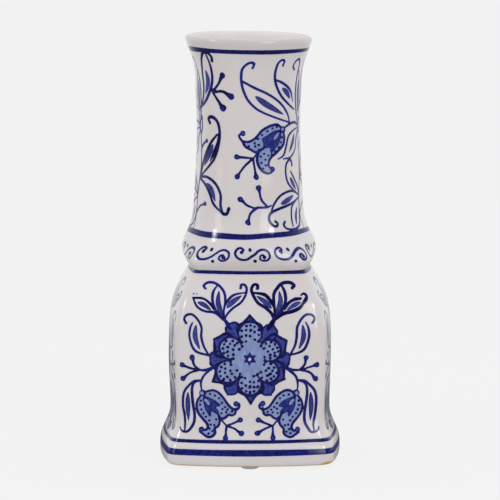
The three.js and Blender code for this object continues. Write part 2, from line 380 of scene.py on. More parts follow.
class Canvas:
    """The outer face of a piece, unrolled: across from a chosen middle, and up along its outline.

    For each vertex, ink, fill and wash hold the distance to the nearest edge of that paint,
    negative inside it; load is how much pigment the nearest stroke carries; bare is negative
    where there is no glaze."""

    def __init__(self, shares, run):
        length = np.r_[0, np.cumsum(np.hypot(*np.diff(run, axis=0).T))]
        self.shares = shares
        self.rows = len(run)
        self.round = perimeter(run[:, 0], run[:, 1])
        self.height = np.repeat(run[:, 1], len(shares))
        self.along = np.repeat(climb(run[0, 1]) + length, len(shares))
        self.values = {key: np.full(self.along.shape, FAR) for key in ("ink", "fill", "wash", "bare")}
        self.values["load"] = np.full(self.along.shape, 0.5)
        # inside marks the faces past the rim, which get a satin glaze and a painted-light brightening.
        self.values["inside"] = np.repeat(length > length[np.argmax(run[:, 1])] + 1, len(shares)) * 1.0
        self.start(0, 1)

    def start(self, share, seed):
        """Begins a motif whose middle is at a share of the perimeter."""
        away = self.shares - share
        away = away - np.round(away)
        self.across = np.outer(self.round, away).ravel()
        self.rng = np.random.default_rng(seed)
        self.flip = 1
        self.bold = 1.0

    def place(self, points):
        """Points given as (across, height), moved a little by the painter's hand."""
        points = np.array(points, float)
        points = points * [self.flip, 1] + self.rng.normal(0, HAND, points.shape)
        return np.stack([points[:, 0], climb(points[:, 1])], axis=1)

    def near(self, path, reach):
        low, high = path.min(0) - reach, path.max(0) + reach
        close = (self.along > low[1]) & (self.along < high[1])
        close &= (self.across > low[0]) & (self.across < high[0])
        return np.flatnonzero(close)

    def lay(self, coat, index, distance, load):
        before = self.values[coat][index]
        self.values[coat][index] = np.minimum(before, distance)
        if coat != "wash":
            nearer = (distance < before) & (distance < 0.6)
            self.values["load"][index[nearer]] = load

    def lift(self, coats, index, distance):
        for coat in coats:
            self.values[coat][index] = np.maximum(self.values[coat][index], -distance)

    def trace(self, path, radii):
        index = self.near(path, radii.max() + 3)
        x, y = self.across[index], self.along[index]
        return index, from_path(x, y, path[:-1], path[1:], radii[:-1], radii[1:])

    def solid(self, path, radii, coat, lift, load, drawn):
        """Lays a coat along a path, or clears the coats in lift; drawn is the load if none is given."""
        index, distance = self.trace(path, radii)
        if lift:
            self.lift(lift, index, distance)
        else:
            self.lay(coat, index, distance, drawn if load is None else load)

    def stroke(self, points, width=1.3, ends=(0.75, 0.6), coat="ink", load=None, swell=0.2):
        """A brush line. ends are its first and last width as shares of the full width."""
        path = through(self.place(points))
        t = np.linspace(0, 1, len(path))
        start = ends[0] + (1 - ends[0]) * np.clip(t / 0.25, 0, 1)
        finish = ends[1] + (1 - ends[1]) * np.clip((1 - t) / 0.3, 0, 1)
        pressure = 1 + swell * np.sin(self.rng.uniform(0, 6.3) + 5 * t) * 0.5
        radii = BRUSH * width * self.bold / 2 * np.minimum(start, finish) * pressure
        drawn = np.clip(self.rng.normal(0.45, 0.18) + (self.bold - 1) * 1.3, 0, 1)
        self.solid(path, radii, coat, (), load, drawn)

    def almond(self, points, width, coat="fill", load=None, lift=()):
        """A filled leaf shape along points; lift names the coats it clears instead."""
        path = through(self.place(points))
        t = np.linspace(0, 1, len(path))
        radii = width / 2 * np.sin(np.pi * t**0.9) ** 0.75
        self.solid(path, radii, coat, lift, load, self.rng.uniform(0.5, 0.9))

    def spot(self, centre, radius, coat="ink", load=None, lift=()):
        middle = self.place([centre])[0]
        path = np.stack([middle, middle + self.rng.normal(0, 0.22, 2) * min(radius, 1)])
        radii = np.array([radius, radius * 0.92])
        self.solid(path, radii, coat, lift, load, self.rng.uniform(0.3, 0.8))

    def area(self, points, coat="wash", load=0.5, smooth=True, lift=()):
        """A filled shape inside a closed outline."""
        outline = self.place(points)
        if smooth:
            fine = 6  # points to each leg, with two legs lapped over at each end
            looped = through(np.vstack([outline[-2:], outline, outline[:2]]), fine)
            outline = looped[2 * fine : (2 + len(outline)) * fine]
        index = self.near(outline, 3)
        x, y = self.across[index], self.along[index]
        a, b = outline, np.roll(outline, -1, axis=0)
        zero = np.zeros(len(a))
        away = from_path(x, y, a, b, zero, zero)
        rising = (a[:, 1] > y[:, None]) != (b[:, 1] > y[:, None])
        with np.errstate(divide="ignore", invalid="ignore"):
            slope = (b[:, 0] - a[:, 0]) / (b[:, 1] - a[:, 1])
            crossing = x[:, None] < slope * (y[:, None] - a[:, 1]) + a[:, 0]
        inside = (rising & crossing).sum(1) % 2 == 1
        distance = np.where(inside, -away, away)
        if lift:
            self.lift(lift, index, distance)
        self.lay(coat, index, distance, load)

    def band(self, height, width, load=0.5, wander=0.15, heavy=0.1, phase=0):
        """A line all the way round, a little uneven: it sags and swells most where phase says."""
        turn = np.tile(self.shares, self.rows) * 2 * np.pi
        drift = 0.35 * np.sin(3 * turn + 2 * phase) + 0.2 * np.sin(8 * turn + 3 * phase)
        drift -= np.cos(turn - phase)
        swell = 1 + heavy * np.cos(turn - phase) + 0.06 * np.sin(4 * turn + 5 * phase)
        distance = np.abs(self.along - climb(height) - wander * drift) - width / 2 * swell
        self.lay("ink", np.arange(len(distance)), distance, load)


# ---------------------------------------------------------------- motifs, in mm as (across, height)


def curled_leaf(canvas, plain_edge, curled_edge, lens, lens_width, width=1.25):
    """A leaf: a plain edge, an edge that runs on into a curl, and a filled lens inside."""
    canvas.stroke(plain_edge, width)
    canvas.stroke(curled_edge, width, ends=(0.75, 0.9))
    canvas.spot(curled_edge[-1], width * 0.6 * canvas.bold)
    canvas.almond(lens, lens_width * 1.12)


def berry(canvas, stem, radius=1.65):
    """A round berry on a stem, paler at its heart."""
    canvas.stroke(stem, 1.1, ends=(0.9, 0.9))
    tip, before = np.array(stem[-1]), np.array(stem[-2])
    back = unit(before - tip)
    canvas.spot(tip, radius)
    canvas.stroke([tip + back * radius * 1.7, tip], radius * 1.3, ends=(0.5, 1))
    if canvas.bold == 1:
        canvas.spot(tip, radius * 0.3, lift=("ink",))
        canvas.spot(tip, radius * 0.7, "fill", load=0.4)


def knob(canvas, place, radius=1.5):
    """The round end of a petal's curl, blue inside a dark ring."""
    canvas.spot(place, radius)
    canvas.spot(place, radius * 0.4, lift=("ink",))
    canvas.spot(place, radius * 0.8, "fill", load=0.3)


def upper_spray(canvas, side, bold):
    """Three leaves above the flower, on one short stem."""
    canvas.flip, canvas.bold = side, bold
    canvas.stroke([(-11.2, 84), (-12.8, 86.4), (-14.6, 88.9)], 1.8)
    curled_leaf(
        canvas,
        [(-14.6, 88.9), (-19.1, 94), (-21.7, 100), (-21.2, 104.8), (-19.2, 108.3)],
        [
            (-14.6, 88.9), (-15, 94.3), (-14.5, 99.2), (-14.8, 104), (-16.5, 107.3), (-19.3, 109.4),
            (-22, 110.4), (-25, 110), (-26.9, 108.3), (-25.9, 107),
        ],
        [(-17.9, 105.8), (-18.3, 99.8), (-17, 94.6), (-15.6, 90.6)],
        2.9,
    )
    canvas.stroke([(-15.2, 89.4), (-20.1, 93.1), (-26.7, 94.3), (-30.9, 96.7), (-33.4, 101.5)])
    if bold > 1:
        canvas.stroke([(-32, 98), (-34, 100.2), (-34.1, 102.6), (-32.6, 103.8), (-31, 103)], 1.1)
        canvas.stroke([(-30.6, 101.2), (-26.8, 100.9), (-23.4, 98.6), (-21.2, 95.2)])
    else:
        canvas.stroke([(-33.4, 101.5), (-27.3, 101.4), (-23.4, 98.8), (-21.2, 95.2)])
    canvas.almond([(-30.9, 99.2), (-27, 97.6), (-22.2, 94.7)], 2.9)
    curled_leaf(
        canvas,
        [(-14.7, 96.5), (-12.7, 100.3), (-9.1, 103.5), (-2.4, 104.8)],
        [
            (-14.6, 89.6), (-13.1, 92.6), (-9.9, 95.9), (-4.9, 99.4), (-2.2, 103.3), (-1.6, 106.9),
            (-2.9, 109.3), (-4.8, 109.2), (-5.1, 107.3),
        ],
        [(-13.3, 95.9), (-9.4, 99.6), (-4.3, 103.2)],
        2.9,
    )
    canvas.bold = 1.0
    if bold == 1:
        canvas.spot((-33, 103.9), 0.5)
        canvas.spot((-31, 103.8), 0.45)


def side_leaf(canvas, side):
    canvas.flip = side
    curled_leaf(
        canvas,
        [(-24.1, 68.1), (-32.2, 71), (-35.6, 78.9), (-35.1, 84), (-33.6, 87.4)],
        [
            (-24.1, 68.1), (-27, 73.8), (-28.2, 79), (-28.3, 84.6), (-31, 89.3), (-34.3, 92),
            (-37.4, 91.6), (-38.9, 89.3), (-37.7, 87.2),
        ],
        [(-31.7, 86.4), (-32.1, 78.6), (-29.1, 71.2)],
        2.8,
    )


def berry_branch(canvas, side):
    canvas.flip = side
    canvas.stroke([(-18.8, 62.5), (-21.6, 60.9), (-26, 59.3), (-30.6, 59.2)], 1.3)
    berry(canvas, [(-30.6, 59.2), (-35.5, 60.3), (-40.4, 62)])
    berry(canvas, [(-29.5, 59.3), (-32.6, 61.8), (-34, 66.5)])
    berry(canvas, [(-29.8, 59.2), (-35.5, 57.4), (-39.6, 53.6)])


def tulip(canvas, calyx, petals, edges, fan, drop, dots, stamens):
    """A drooping flower: washed petals inside brush lines, a dark fan, dots, and three stamens."""
    for petal in petals:
        canvas.area(petal, "wash")
    canvas.area(fan, "fill", load=1.1, smooth=False)
    canvas.stroke([*fan, fan[0]], 0.5, ends=(1, 1), load=0.5)
    canvas.almond(drop, 2, lift=("fill",))
    for tip in fan[2:-2:2]:
        canvas.stroke([fan[0], tip], 0.45, load=0.6)
    canvas.almond(drop, 1.7, lift=("ink",))
    for edge in edges:
        canvas.stroke(edge, 1.25, ends=(0.9, 0.9), load=0.5)
    knob(canvas, edges[0][-1], 1.7)
    knob(canvas, edges[-1][-1], 1.6)
    for place in dots:
        canvas.spot(place, 0.74, load=0.8)
    canvas.spot(calyx, 2.1, load=0.5)
    canvas.spot(calyx, 1.0, lift=("ink", "fill"))
    canvas.spot(calyx, 1.6, "wash")
    root, fork, tips = stamens
    canvas.stroke([root, fork], 1.3)
    for tip in tips:
        bend = [(fork[0] + tip[0]) / 2, fork[1] * 0.55 + tip[1] * 0.45]
        berry(canvas, [fork, bend, tip])


def body_tulip(canvas, side):
    canvas.flip = side
    canvas.stroke([(-19.5, 61.5), (-24, 58.7), (-27.3, 55.6), (-28.6, 51.6), (-28.4, 46.6)], 1.15)
    right_top = [
        (-26.6, 45.6), (-25.4, 46.3), (-23.2, 47.1), (-21.2, 47.1), (-18.8, 45.9), (-16.1, 43.4),
        (-13.8, 40), (-11.8, 37.6), (-9.6, 36.1), (-7.3, 35.9), (-5.9, 37.3), (-6.3, 39.2),
        (-7.8, 39.3),
    ]
    right_bottom = [
        (-7.7, 36.4), (-8.7, 33.2), (-10.4, 32.1), (-12.1, 32.4), (-14.1, 30.8), (-16.1, 30.2),
        (-17.5, 30.4), (-18.5, 32.1),
    ]
    left_right = [
        (-18.2, 30.9), (-17.5, 28.4), (-18.4, 26), (-20.4, 24.2), (-20.3, 21.7), (-22.2, 19.9),
        (-24.5, 19.3), (-26.9, 20.4), (-29.4, 22.2),
    ]
    left_left = [
        (-29, 43.4), (-31.1, 40.7), (-31.5, 37.2), (-30.2, 33.1), (-27.9, 29.7), (-25.5, 26.9),
        (-25, 24.8), (-26.2, 23.1), (-28.7, 23.5),
    ]
    tulip(
        canvas,
        (-28, 45.3),
        [
            right_top[:9] + right_bottom + [(-23, 33), (-27.4, 43)],
            left_left + left_right[::-1] + [(-19, 33), (-26.8, 43.4)],
        ],
        [right_top, right_bottom, left_right, left_left],
        [
            (-27.2, 43.8), (-23.5, 42.4), (-20.1, 40.7), (-17.4, 38.1), (-20.1, 36.9), (-18.6, 34.6),
            (-18.6, 32.4), (-22.6, 34.4), (-23.4, 31.5), (-25.6, 34.5), (-26.9, 37.9), (-27.4, 41.4),
        ],
        [(-26.6, 42), (-24.9, 39.8), (-23.6, 38.2)],
        [
            (-23.3, 44.9), (-20.3, 44.1), (-18.1, 42.4), (-16.2, 39.7), (-14.4, 37.2), (-12.8, 35.7),
            (-16.2, 35.9), (-16.5, 33.3), (-13.6, 33.9), (-10.6, 34.2), (-29.1, 40.7), (-29.4, 38.2),
            (-28.9, 35.5), (-27.5, 32.9), (-25.8, 30.9), (-23.8, 28.9), (-20, 29.4), (-23, 26.4),
            (-20.8, 26.3), (-23.6, 24), (-21.9, 22.6), (-24.4, 21.4),
        ],
        ((-17.6, 30.2), (-13.8, 25.9), [(-5.3, 29.5), (-4.6, 21.7), (-13.9, 19.2)]),
    )


def lower_leaf(canvas, side):
    canvas.flip = side
    canvas.stroke(
        [
            (-28.6, 53.1), (-32.8, 51.4), (-34, 48.4), (-34.3, 44.3), (-33.6, 38), (-32.9, 32.8),
            (-33.2, 28), (-34.9, 24), (-37, 22), (-39.2, 21.8), (-41.1, 22.7), (-41.6, 24.4),
        ]
    )
    canvas.stroke(
        [
            (-28.6, 53.2), (-33, 52.4), (-36.2, 49.8), (-38.9, 46), (-40.1, 42), (-39.8, 37),
            (-38.9, 31.7), (-38.4, 26.4), (-38.7, 22.4),
        ]
    )
    canvas.almond([(-36.5, 46), (-36.9, 37), (-36.3, 28)], 3.1)


# Each row is a direction in degrees from the right, then lengths in mm from the flower's heart.
PETALS = (
    (89, 15.3, 6.9), (150.5, 13, 6.5), (211, 15, 6.9),
    (270.5, 15.2, 6.8), (324, 13.5, 6.4), (22, 13.2, 6.4),
)
SEPALS = ((90, 25.9), (151.8, 24.2), (212.3, 26), (271.5, 27), (329.8, 24), (25.9, 24.4))
SMALL_SEPALS = ((119, 24.2), (180, 23.6), (238, 25.3), (299.5, 25), (357.5, 23.8), (53, 24.3))
# Each dot in a petal, across and outwards from its heart, as shares of its radius.
PETAL_DOTS = (
    (-0.38, 0.66), (0.0, 0.7), (0.38, 0.58), (-0.72, 0.18), (-0.35, 0.26), (0.04, 0.22), (0.4, 0.06),
    (0.74, 0.3), (-0.76, -0.36), (-0.38, -0.22), (0.0, -0.3), (0.78, -0.18), (0.42, -0.6),
    (0.74, -0.74), (-0.7, -0.88), (-0.34, -0.8),
)


def rosette(canvas, middle):
    """The large flower: six dotted petals over twelve dark sepals, and a star at its heart."""
    canvas.flip = 1
    canvas.bold = 1.0

    def at(radius, turn):
        a = math.radians(turn)
        return (middle[0] + radius * math.cos(a), middle[1] + radius * math.sin(a))

    for turn, reach in SMALL_SEPALS:
        left = [at(10, turn + 22), at(20.4, turn + 13), at(23.2, turn + 8.5), at(reach, turn + 1)]
        right = [at(reach, turn + 1), at(23, turn - 8), at(20, turn - 13), at(10, turn - 22)]
        canvas.area(left + right[1:], "fill", load=0.6, smooth=False)
        canvas.stroke(left, 1, load=0.5)
        canvas.stroke(right, 1, load=0.5)
        canvas.stroke([at(17, turn + 3), at(22.4, turn + 3)], 0.6, load=0.3)
        canvas.stroke([at(18, turn - 4), at(22, turn - 5)], 0.5, load=0.3)
    for turn, reach in SEPALS:
        left = [at(10, turn + 30), at(20.5, turn + 20), at(22, turn + 9), at(reach, turn)]
        right = [at(reach, turn), at(22, turn - 9), at(20.5, turn - 20), at(10, turn - 30)]
        canvas.area(left + right[1:], "fill", load=0.5, smooth=False)
        canvas.stroke(left, 1.3, load=0.7)
        canvas.stroke(right, 1.3, load=0.7)
    outlines = []
    for turn, distance, radius in PETALS:
        heart = at(distance, turn)
        sweep = np.radians(turn + np.linspace(-132, 132, 13))
        outline = [(heart[0] + radius * math.cos(a), heart[1] + radius * math.sin(a)) for a in sweep]
        outlines.append(outline)
        canvas.area([at(7, turn - 20), *outline, at(7, turn + 20)], "wash", lift=("ink", "fill"))
    canvas.area([at(11.3, turn) for turn in range(0, 360, 20)], "wash", lift=("ink", "fill"))
    for outline in outlines:
        canvas.stroke(outline, 1.2, ends=(0.5, 0.5), load=0.6)
    for turn, distance, radius in PETALS:
        heart = at(distance, turn)
        mirror = canvas.rng.choice((-1, 1))
        a = math.radians(turn)
        for across, out in PETAL_DOTS:
            u, v = mirror * across * radius * 0.94, (out * 0.94 + 0.03) * radius
            x = heart[0] + v * math.cos(a) - u * math.sin(a)
            y = heart[1] + v * math.sin(a) + u * math.cos(a)
            canvas.spot((x, y), canvas.rng.uniform(0.78, 0.98), load=0.75)
    star = [at(4.4 if k % 2 == 0 else 2.5, 30 * k + 90) for k in range(12)]
    canvas.area(star, "ink", load=0.35, smooth=False)
    canvas.spot(middle, 0.8, lift=("ink", "wash"))


# How far right of its middle each side's flower sits, how high, and how heavy its two sprays are.
PANELS = (
    (-0.7, 66.2, 1.0, 1.3), (2.4, 65.8, 1.15, 1.0),
    (-0.8, 66.6, 1.35, 1.05), (-2.6, 66.0, 1.0, 1.2),
)
PANEL_HEIGHT = 66  # where a shift across is measured


def panel(canvas, number):
    """The brushwork of one side of the body."""
    right, heart, left_weight, right_weight = PANELS[number]
    round_here = perimeter(outer_width(PANEL_HEIGHT), PANEL_HEIGHT)
    canvas.start(number / len(PANELS) + right / round_here, 40 + number)
    rosette(canvas, (0.2, heart))
    upper_spray(canvas, 1, left_weight)
    upper_spray(canvas, -1, right_weight)
    for side in (1, -1):
        side_leaf(canvas, side)
        berry_branch(canvas, side)
        body_tulip(canvas, side)
        lower_leaf(canvas, side)


def neck_spray(canvas, turn, left, right, seed):
    """A climbing stem with leaves, a flower to its left and berries to its right."""
    canvas.start(turn / 360, seed)
    canvas.across /= np.where(canvas.across < 0, left, right)
    stem = [(2, 205), (1.5, 200), (3, 190), (3.5, 178), (2, 168), (0, 158), (0, 148), (1, 139.5)]
    canvas.stroke(stem, 1)
    curled_leaf(
        canvas,
        [(-41.2, 228.8), (-34, 225), (-24.8, 221), (-16.2, 214.9), (-10.8, 208.6), (-8.4, 203.4)],
        [
            (-8.4, 203.4), (-21, 207.3), (-31, 211.9), (-37, 217.3), (-40.4, 223.8), (-42, 231),
            (-41.8, 236.9), (-38.9, 239.9), (-36.3, 239.4), (-36.3, 237),
        ],
        [(-33.6, 220.4), (-26, 215.2), (-13.6, 208.3)],
        3.3,
    )
    curled_leaf(
        canvas,
        [(-21.2, 229.8), (-15.3, 227.6), (-8.9, 222.6), (-6, 216.4)],
        [
            (-4.6, 211), (-10.4, 215), (-16.4, 220.3), (-20.9, 228.5), (-21.9, 235), (-21, 240),
            (-18.9, 241.6), (-17, 240.4), (-17.3, 238.2),
        ],
        [(-16, 224.6), (-12, 221.6), (-8.8, 217.6)],
        3,
    )
    curled_leaf(
        canvas,
        [(1.5, 202), (3, 215), (2.6, 226), (0.5, 234)],
        [
            (0.6, 202), (-2.2, 212), (-3.2, 222), (-1.4, 233), (-1, 238.6), (-4, 241.2), (-7, 239.8),
            (-7.9, 237), (-6.4, 235.3),
        ],
        [(0.5, 229), (0.2, 219), (0.8, 208)],
        2.6,
    )
    canvas.stroke([(1.5, 200.4), (-3, 203), (-8, 203), (-12, 201.4), (-14.6, 199.8)], 1.2)
    left_top = [
        (-15.6, 201), (-18.4, 202.8), (-22, 202.5), (-27.8, 199.8), (-32.6, 195.4), (-36.6, 193),
        (-40.2, 194), (-42, 196.7), (-39.8, 198),
    ]
    left_bottom = [
        (-40.3, 193.6), (-38.4, 190.2), (-35.2, 188.6), (-32.4, 186.8), (-30.4, 187.4), (-27.6, 189),
    ]
    right_left = [
        (-30.6, 187.2), (-31.4, 182.6), (-30.4, 177.4), (-27.6, 174.6), (-24.4, 174.2), (-22, 175.6),
    ]
    right_right = [
        (-13.8, 198.6), (-13.1, 195.1), (-13.9, 190.9), (-18.4, 186.6), (-23.4, 182.8), (-24.8, 178.8),
        (-22.5, 176.4),
    ]
    tulip(
        canvas,
        (-14.4, 199.8),
        [
            left_top[:7] + left_bottom[:5] + [(-25, 190), (-18, 196)],
            right_right + [
                (-22, 175.6), (-24.4, 174.4), (-27.6, 174.8), (-30.4, 177.6), (-31.2, 182.8),
                (-30.4, 187.4), (-22, 194),
            ],
        ],
        [left_top, left_bottom, right_left, right_right],
        [
            (-15.8, 199.4), (-20.6, 199.2), (-24.8, 196.8), (-28.4, 194.6), (-27.6, 192.4),
            (-27.4, 190.6), (-27.8, 189.2), (-23.6, 189.4), (-22.8, 186.2), (-20.2, 188.6),
            (-17.8, 191.6), (-16.2, 195.4),
        ],
        [(-17, 198.2), (-19.4, 195.6), (-20.8, 194)],
        [
            (-18.8, 201.3), (-22, 200.8), (-25.2, 199.4), (-28.2, 197.2), (-30.8, 195), (-33, 192.4),
            (-30.4, 191.2), (-32.6, 190.2), (-36.2, 190.4), (-38.6, 190.9), (-30.2, 188.8), (-15, 195),
            (-15.7, 192), (-17.5, 189.4), (-20, 187), (-22.4, 185), (-24.6, 184.8), (-27.2, 186.2),
            (-29.4, 184.2), (-26.4, 182.4), (-29, 180.6), (-26.6, 179), (-28.2, 177.2),
        ],
        ((-31.6, 186.2), (-34.2, 183.4), [(-43.8, 184.2), (-44.2, 172.2), (-32.7, 172.4)]),
    )
    bow = [(0.6, 199.6), (-5, 198.6), (-9.4, 195.6), (-11.4, 190), (-14, 184.4), (-18.2, 182.4)]
    canvas.stroke(bow, 1.1)
    canvas.stroke([(1.2, 199.6), (-1.6, 192.5), (-2.6, 187.4), (-8, 182.8), (-14.4, 182.2)], 1.1)
    canvas.almond([(-3.6, 196.8), (-5.8, 191), (-9.4, 185.4)], 2.6)
    curled_leaf(
        canvas,
        [(-8.3, 174), (-4.6, 169), (-1.6, 164.6), (-0.4, 160.4)],
        [
            (-0.8, 159.6), (-7, 163.6), (-11.8, 168.4), (-12.6, 174.8), (-11.4, 179.4), (-8.6, 181.4),
            (-6.9, 179.8), (-6.8, 177.8),
        ],
        [(-9.4, 171), (-7, 167.2), (-3.6, 162.8)],
        2.6,
    )
    curled_leaf(
        canvas,
        [(0.4, 159), (-7.8, 162.6), (-17, 160.8), (-22.6, 156), (-25.2, 150.8)],
        [
            (0.4, 158.6), (-4.6, 156.8), (-12, 154.4), (-20, 152.4), (-25.4, 150.4), (-26.8, 146.8),
            (-25.6, 143.4), (-22.8, 142.4), (-21.6, 144.2), (-23, 145.4),
        ],
        [(-18.4, 155.4), (-13, 157.2), (-6.4, 160)],
        3,
    )
    curled_leaf(
        canvas,
        [(-3.2, 157.4), (-8.6, 153.2), (-10.2, 147), (-10.6, 141.6)],
        [
            (-0.2, 157), (-0.8, 149), (-3, 142.4), (-7.4, 140.4), (-12.6, 140.2), (-16.6, 141),
            (-17.8, 143), (-16.6, 144.8),
        ],
        [(-3.4, 153), (-5.6, 147.4), (-6.6, 141.8)],
        2.2,
    )
    canvas.stroke([(-24.6, 155), (-27.6, 154.2), (-32.2, 153.9), (-36, 153.8)], 1.15)
    berry(canvas, [(-26.6, 154.2), (-30.4, 158.4), (-31.6, 166)])
    berry(canvas, [(-35.6, 153.8), (-39.4, 155.4), (-42.8, 159)])
    berry(canvas, [(-33.4, 153.8), (-37.4, 151), (-40.1, 145.4)])
    neck_right_side(canvas)


def neck_right_side(canvas):
    """The leaves and berries to the right of a climbing stem, with a fuller brush."""
    canvas.bold = 1.25
    curled_leaf(
        canvas,
        [(14.6, 244.4), (15.4, 235), (14.4, 226), (8, 216), (0.4, 210.6)],
        [
            (0.4, 210.6), (5.4, 216), (6.6, 224), (6.6, 232), (8.6, 240.4), (12.4, 244.8), (16, 245.2),
            (18.4, 242.6), (17.6, 240.2),
        ],
        [(10.4, 234.6), (11.2, 227), (8.4, 219.6)],
        3.3,
    )
    canvas.stroke([(13.6, 223.4), (16, 222.6), (18.6, 222)], 1.5)
    berry(canvas, [(16, 222.8), (19.4, 226.6), (23, 232)], 1.8)
    berry(canvas, [(17.6, 222.2), (22.4, 222.6), (27.6, 219.8)], 2)
    berry(canvas, [(14.6, 222.4), (18.4, 217.6), (22.3, 212.6)], 1.9)
    curled_leaf(
        canvas,
        [(17.4, 196.6), (12.4, 191.4), (8, 184), (4.6, 175), (3.6, 171)],
        [
            (3.6, 171), (9.6, 175.6), (15.4, 182.4), (18.6, 190.6), (19.4, 199), (17.6, 204.6),
            (13.8, 207), (10.6, 205.8), (12, 203.4),
        ],
        [(14.4, 191), (11.4, 185), (7, 177)],
        3.4,
    )
    heavy_edge = [(19.2, 200), (18.4, 193.4), (15.6, 186.4), (12.4, 180.6)]
    canvas.stroke(heavy_edge, 1.5, ends=(0.6, 0.3), load=0.9)
    curled_leaf(
        canvas,
        [(3.4, 169.4), (8.4, 167), (12.8, 162), (17.2, 155.6), (22.8, 151)],
        [
            (3.4, 170.4), (10.6, 171), (17.8, 167.4), (21.6, 161.4), (22, 154.4), (24.2, 150.2),
            (27, 150.4), (28, 153.2),
        ],
        [(10, 167.4), (14.6, 163.6), (18.4, 156.8)],
        3.4,
    )
    canvas.bold = 1.0
    berry(canvas, [(2.6, 196), (4.4, 201), (3.6, 205.4)], 1.2)
    berry(canvas, [(3, 186), (5.4, 190), (9, 192.6)], 1.2)
    berry(canvas, [(0.6, 149.4), (4.4, 153), (9.8, 154.8)], 1.4)


# The neck's sprays: direction, and how far each side is narrowed to fit beside its neighbour.
SPRAYS = ((66.5, 1, 0.85), (-69.5, 0.85, 1), (178.5, 0.85, 0.85))
SCROLLS = 11
SCROLL_HEIGHT = 127.1
# Each line round the vase: its height and width.
RIM_LINE = (246.4, 2.7)
NECK_LINE = (138, 2.8)
CREASE_LINE = (CREASE - 0.7, 2.4)
FOOT_LINE = (16.8, 2.4)
FOOT_STRIPE = (10.5, 4.0)
NECK_LINE_SAG = -0.4  # the direction, in radians, where the neck's line is lowest and thickest
BARE_EDGE = 2.6  # how high the bare clay reaches at the foot
# The chip at the foot's right corner: how far right, half its width, and its height from and to.
CHIP_RIGHT, CHIP_HALF_WIDTH, CHIP_FROM, CHIP_HIGH = 47, 6.2, 2.2, 2.4


def scroll(canvas, centre):
    """An S-shaped scroll with a spiral at each end and a dot in each hollow."""
    x, z = centre
    left = [(-6.6, 1.3), (-5.3, 2.7), (-6.6, 3.6), (-8.6, 3.2), (-10.2, 0.9), (-9.6, -1.5), (-7.1, -3)]
    spine = [(-3.6, -2.9), (-0.8, -1.4), (1.6, 0.4), (4, 2), (6.8, 2.7)]
    right = [(9.6, 0.9), (10, -1.7), (8.4, -3.6), (5.9, -3.8), (4.3, -2.4), (4.9, -0.7), (6.6, -0.7)]
    path = [(x + a, z + b) for a, b in left + spine + right]
    canvas.stroke(path, 1.12, ends=(0.9, 0.9))
    canvas.spot(path[0], 1.15)
    canvas.spot((x + 6.9, z - 1.6), 1.2)
    canvas.spot((x - 1.4, z + 2.5), 1.05)
    canvas.spot((x + 1, z - 4.2), 1.05)


def neck_line(canvas):
    canvas.band(*NECK_LINE, load=0.5, wander=0.7, heavy=0.3, phase=NECK_LINE_SAG)


def crease_line(canvas):
    canvas.band(*CREASE_LINE, load=0.55, phase=2)


def paint_neck(canvas):
    for number, (turn, left, right) in enumerate(SPRAYS):
        neck_spray(canvas, turn, left, right, 70 + number)
    neck_line(canvas)
    canvas.band(*RIM_LINE, load=0.65, phase=5)


def paint_collar(canvas):
    for number in range(SCROLLS):
        canvas.start((number + 0.08) / SCROLLS, 110 + number)
        scroll(canvas, (0, SCROLL_HEIGHT + canvas.rng.normal(0, 0.25)))
    neck_line(canvas)
    crease_line(canvas)


def paint_body(canvas):
    for number in range(len(PANELS)):
        panel(canvas, number)
    crease_line(canvas)


def paint_foot(canvas):
    paint_body(canvas)
    canvas.band(*FOOT_LINE, load=0.55, wander=0.1, phase=3)
    canvas.band(*FOOT_STRIPE, load=0.4, wander=0.1, phase=4)
    canvas.start(0, 5)
    turn = np.tile(canvas.shares, canvas.rows) * 2 * np.pi
    ragged = 0.35 * np.sin(5 * turn + 1) + 0.25 * np.sin(13 * turn) + 0.15 * np.sin(31 * turn)
    away = (canvas.across - CHIP_RIGHT) / CHIP_HALF_WIDTH
    chip_top = CHIP_FROM + CHIP_HIGH * np.clip(1 - away**2, 0, 1)
    edge = BARE_EDGE - 0.4 * ragged
    canvas.values["bare"] = canvas.height - np.maximum(edge, chip_top + ragged * 0.4)


def whole_turn(radius):
    """Even shares of a whole turn, FINE apart at a radius."""
    count = int(round(2 * math.pi * radius / FINE / 4)) * 4
    return np.arange(count) / count


# ---------------------------------------------------------------- materials


